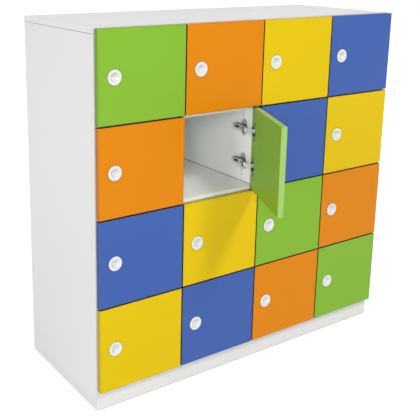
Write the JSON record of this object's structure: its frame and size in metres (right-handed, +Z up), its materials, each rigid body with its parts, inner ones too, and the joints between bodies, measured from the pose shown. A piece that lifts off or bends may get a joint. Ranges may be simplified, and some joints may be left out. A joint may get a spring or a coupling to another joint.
{
  "type": "student locker",
  "caption": "Free-standing cabinet of sixteen compartments behind coloured overlay doors, each with a recessed finger pull and two concealed cup hinges",
  "frame": {"origin": "on the floor, under the middle of the cabinet's width and depth (without its doors)", "axes": "+X to the right along the front, +Y to the back, +Z up; the doors face -Y"},
  "size_m": [1.2, 0.7285, 1.17],
  "materials": {
    "board_white": "white melamine facing, satin, fine pearl texture",
    "door_green": "lime green melamine facing, satin",
    "door_orange": "orange melamine facing, satin",
    "door_yellow": "yellow melamine facing, satin",
    "door_blue": "blue melamine facing, satin",
    "pull_white": "moulded white plastic, gloss",
    "hinge_steel": "nickel-plated pressed steel",
    "screw_steel": "zinc-plated steel",
    "dowel_wood": "fluted beech",
    "back_white": "white faced hardboard, satin"
  },
  "bodies": {
    "root": {"left_side_panel": "board_white", "right_side_panel": "board_white", "top_panel": "board_white", "bottom_panel": "board_white", "dividers": "board_white", "shelves": "board_white", "back_panel": "back_white", "plinth": "board_white", "dowels": "dowel_wood", "hinge_plates": "hinge_steel", "hinge_arms": "hinge_steel", "hinge_screws": "screw_steel"},
    "links_r1c1": {"links_r1c1": "hinge_steel"},
    "door_r1c1": {"door_r1c1": "door_green", "fittings_r1c1": "pull_white"},
    "links_r1c2": {"links_r1c2": "hinge_steel"},
    "door_r1c2": {"door_r1c2": "door_orange", "fittings_r1c2": "pull_white"},
    "links_r1c3": {"links_r1c3": "hinge_steel"},
    "door_r1c3": {"door_r1c3": "door_yellow", "fittings_r1c3": "pull_white"},
    "links_r1c4": {"links_r1c4": "hinge_steel"},
    "door_r1c4": {"door_r1c4": "door_blue", "fittings_r1c4": "pull_white"},
    "links_r2c1": {"links_r2c1": "hinge_steel"},
    "door_r2c1": {"door_r2c1": "door_orange", "fittings_r2c1": "pull_white"},
    "links_r2c2": {"links_r2c2": "hinge_steel"},
    "door_r2c2": {"door_r2c2": "door_green", "fittings_r2c2": "pull_white"},
    "links_r2c3": {"links_r2c3": "hinge_steel"},
    "door_r2c3": {"door_r2c3": "door_blue", "fittings_r2c3": "pull_white"},
    "links_r2c4": {"links_r2c4": "hinge_steel"},
    "door_r2c4": {"door_r2c4": "door_yellow", "fittings_r2c4": "pull_white"},
    "links_r3c1": {"links_r3c1": "hinge_steel"},
    "door_r3c1": {"door_r3c1": "door_blue", "fittings_r3c1": "pull_white"},
    "links_r3c2": {"links_r3c2": "hinge_steel"},
    "door_r3c2": {"door_r3c2": "door_yellow", "fittings_r3c2": "pull_white"},
    "links_r3c3": {"links_r3c3": "hinge_steel"},
    "door_r3c3": {"door_r3c3": "door_green", "fittings_r3c3": "pull_white"},
    "links_r3c4": {"links_r3c4": "hinge_steel"},
    "door_r3c4": {"door_r3c4": "door_orange", "fittings_r3c4": "pull_white"},
    "links_r4c1": {"links_r4c1": "hinge_steel"},
    "door_r4c1": {"door_r4c1": "door_yellow", "fittings_r4c1": "pull_white"},
    "links_r4c2": {"links_r4c2": "hinge_steel"},
    "door_r4c2": {"door_r4c2": "door_blue", "fittings_r4c2": "pull_white"},
    "links_r4c3": {"links_r4c3": "hinge_steel"},
    "door_r4c3": {"door_r4c3": "door_orange", "fittings_r4c3": "pull_white"},
    "links_r4c4": {"links_r4c4": "hinge_steel"},
    "door_r4c4": {"door_r4c4": "door_green", "fittings_r4c4": "pull_white"}
  },
  "joints": [
    {"name": "links_r1c1_arm_pin", "type": "hinge", "parent": "root", "child": "links_r1c1", "pos_m": [-0.336, -0.212, 1.032], "axis": [0, 0, 1], "range_deg": [-30.45, 0]},
    {"name": "door_r1c1_swing", "type": "hinge", "parent": "links_r1c1", "child": "door_r1c1", "pos_m": [-0.312, -0.233, 1.032], "axis": [0, 0, 1], "range_deg": [0, 135.45]},
    {"name": "links_r1c2_arm_pin", "type": "hinge", "parent": "root", "child": "links_r1c2", "pos_m": [-0.036, -0.212, 1.032], "axis": [0, 0, 1], "range_deg": [-30.45, 0]},
    {"name": "door_r1c2_swing", "type": "hinge", "parent": "links_r1c2", "child": "door_r1c2", "pos_m": [-0.012, -0.233, 1.032], "axis": [0, 0, 1], "range_deg": [0, 135.45]},
    {"name": "links_r1c3_arm_pin", "type": "hinge", "parent": "root", "child": "links_r1c3", "pos_m": [0.264, -0.212, 1.032], "axis": [0, 0, 1], "range_deg": [-30.45, 0]},
    {"name": "door_r1c3_swing", "type": "hinge", "parent": "links_r1c3", "child": "door_r1c3", "pos_m": [0.288, -0.233, 1.032], "axis": [0, 0, 1], "range_deg": [0, 135.45]},
    {"name": "links_r1c4_arm_pin", "type": "hinge", "parent": "root", "child": "links_r1c4", "pos_m": [0.564, -0.212, 1.032], "axis": [0, 0, 1], "range_deg": [-30.45, 0]},
    {"name": "door_r1c4_swing", "type": "hinge", "parent": "links_r1c4", "child": "door_r1c4", "pos_m": [0.588, -0.233, 1.032], "axis": [0, 0, 1], "range_deg": [0, 135.45]},
    {"name": "links_r2c1_arm_pin", "type": "hinge", "parent": "root", "child": "links_r2c1", "pos_m": [-0.336, -0.212, 0.756], "axis": [0, 0, 1], "range_deg": [-30.45, 0]},
    {"name": "door_r2c1_swing", "type": "hinge", "parent": "links_r2c1", "child": "door_r2c1", "pos_m": [-0.312, -0.233, 0.756], "axis": [0, 0, 1], "range_deg": [0, 135.45]},
    {"name": "links_r2c2_arm_pin", "type": "hinge", "parent": "root", "child": "links_r2c2", "pos_m": [-0.036, -0.212, 0.756], "axis": [0, 0, 1], "range_deg": [-11.6, 18.85]},
    {"name": "door_r2c2_swing", "type": "hinge", "parent": "links_r2c2", "child": "door_r2c2", "pos_m": [-0.02007, -0.23963, 0.756], "axis": [0, 0, 1], "range_deg": [-83.85, 51.6]},
    {"name": "links_r2c3_arm_pin", "type": "hinge", "parent": "root", "child": "links_r2c3", "pos_m": [0.264, -0.212, 0.756], "axis": [0, 0, 1], "range_deg": [-30.45, 0]},
    {"name": "door_r2c3_swing", "type": "hinge", "parent": "links_r2c3", "child": "door_r2c3", "pos_m": [0.288, -0.233, 0.756], "axis": [0, 0, 1], "range_deg": [0, 135.45]},
    {"name": "links_r2c4_arm_pin", "type": "hinge", "parent": "root", "child": "links_r2c4", "pos_m": [0.564, -0.212, 0.756], "axis": [0, 0, 1], "range_deg": [-30.45, 0]},
    {"name": "door_r2c4_swing", "type": "hinge", "parent": "links_r2c4", "child": "door_r2c4", "pos_m": [0.588, -0.233, 0.756], "axis": [0, 0, 1], "range_deg": [0, 135.45]},
    {"name": "links_r3c1_arm_pin", "type": "hinge", "parent": "root", "child": "links_r3c1", "pos_m": [-0.336, -0.212, 0.48], "axis": [0, 0, 1], "range_deg": [-30.45, 0]},
    {"name": "door_r3c1_swing", "type": "hinge", "parent": "links_r3c1", "child": "door_r3c1", "pos_m": [-0.312, -0.233, 0.48], "axis": [0, 0, 1], "range_deg": [0, 135.45]},
    {"name": "links_r3c2_arm_pin", "type": "hinge", "parent": "root", "child": "links_r3c2", "pos_m": [-0.036, -0.212, 0.48], "axis": [0, 0, 1], "range_deg": [-30.45, 0]},
    {"name": "door_r3c2_swing", "type": "hinge", "parent": "links_r3c2", "child": "door_r3c2", "pos_m": [-0.012, -0.233, 0.48], "axis": [0, 0, 1], "range_deg": [0, 135.45]},
    {"name": "links_r3c3_arm_pin", "type": "hinge", "parent": "root", "child": "links_r3c3", "pos_m": [0.264, -0.212, 0.48], "axis": [0, 0, 1], "range_deg": [-30.45, 0]},
    {"name": "door_r3c3_swing", "type": "hinge", "parent": "links_r3c3", "child": "door_r3c3", "pos_m": [0.288, -0.233, 0.48], "axis": [0, 0, 1], "range_deg": [0, 135.45]},
    {"name": "links_r3c4_arm_pin", "type": "hinge", "parent": "root", "child": "links_r3c4", "pos_m": [0.564, -0.212, 0.48], "axis": [0, 0, 1], "range_deg": [-30.45, 0]},
    {"name": "door_r3c4_swing", "type": "hinge", "parent": "links_r3c4", "child": "door_r3c4", "pos_m": [0.588, -0.233, 0.48], "axis": [0, 0, 1], "range_deg": [0, 135.45]},
    {"name": "links_r4c1_arm_pin", "type": "hinge", "parent": "root", "child": "links_r4c1", "pos_m": [-0.336, -0.212, 0.204], "axis": [0, 0, 1], "range_deg": [-30.45, 0]},
    {"name": "door_r4c1_swing", "type": "hinge", "parent": "links_r4c1", "child": "door_r4c1", "pos_m": [-0.312, -0.233, 0.204], "axis": [0, 0, 1], "range_deg": [0, 135.45]},
    {"name": "links_r4c2_arm_pin", "type": "hinge", "parent": "root", "child": "links_r4c2", "pos_m": [-0.036, -0.212, 0.204], "axis": [0, 0, 1], "range_deg": [-30.45, 0]},
    {"name": "door_r4c2_swing", "type": "hinge", "parent": "links_r4c2", "child": "door_r4c2", "pos_m": [-0.012, -0.233, 0.204], "axis": [0, 0, 1], "range_deg": [0, 135.45]},
    {"name": "links_r4c3_arm_pin", "type": "hinge", "parent": "root", "child": "links_r4c3", "pos_m": [0.264, -0.212, 0.204], "axis": [0, 0, 1], "range_deg": [-30.45, 0]},
    {"name": "door_r4c3_swing", "type": "hinge", "parent": "links_r4c3", "child": "door_r4c3", "pos_m": [0.288, -0.233, 0.204], "axis": [0, 0, 1], "range_deg": [0, 135.45]},
    {"name": "links_r4c4_arm_pin", "type": "hinge", "parent": "root", "child": "links_r4c4", "pos_m": [0.564, -0.212, 0.204], "axis": [0, 0, 1], "range_deg": [-30.45, 0]},
    {"name": "door_r4c4_swing", "type": "hinge", "parent": "links_r4c4", "child": "door_r4c4", "pos_m": [0.588, -0.233, 0.204], "axis": [0, 0, 1], "range_deg": [0, 135.45]}
  ],
  "couplings": [
    {"joint": "links_r1c1_arm_pin", "follows": "door_r1c1_swing", "ratio": -0.22481},
    {"joint": "links_r1c2_arm_pin", "follows": "door_r1c2_swing", "ratio": -0.22481},
    {"joint": "links_r1c3_arm_pin", "follows": "door_r1c3_swing", "ratio": -0.22481},
    {"joint": "links_r1c4_arm_pin", "follows": "door_r1c4_swing", "ratio": -0.22481},
    {"joint": "links_r2c1_arm_pin", "follows": "door_r2c1_swing", "ratio": -0.22481},
    {"joint": "links_r2c2_arm_pin", "follows": "door_r2c2_swing", "ratio": -0.22481},
    {"joint": "links_r2c3_arm_pin", "follows": "door_r2c3_swing", "ratio": -0.22481},
    {"joint": "links_r2c4_arm_pin", "follows": "door_r2c4_swing", "ratio": -0.22481},
    {"joint": "links_r3c1_arm_pin", "follows": "door_r3c1_swing", "ratio": -0.22481},
    {"joint": "links_r3c2_arm_pin", "follows": "door_r3c2_swing", "ratio": -0.22481},
    {"joint": "links_r3c3_arm_pin", "follows": "door_r3c3_swing", "ratio": -0.22481},
    {"joint": "links_r3c4_arm_pin", "follows": "door_r3c4_swing", "ratio": -0.22481},
    {"joint": "links_r4c1_arm_pin", "follows": "door_r4c1_swing", "ratio": -0.22481},
    {"joint": "links_r4c2_arm_pin", "follows": "door_r4c2_swing", "ratio": -0.22481},
    {"joint": "links_r4c3_arm_pin", "follows": "door_r4c3_swing", "ratio": -0.22481},
    {"joint": "links_r4c4_arm_pin", "follows": "door_r4c4_swing", "ratio": -0.22481}
  ]
}
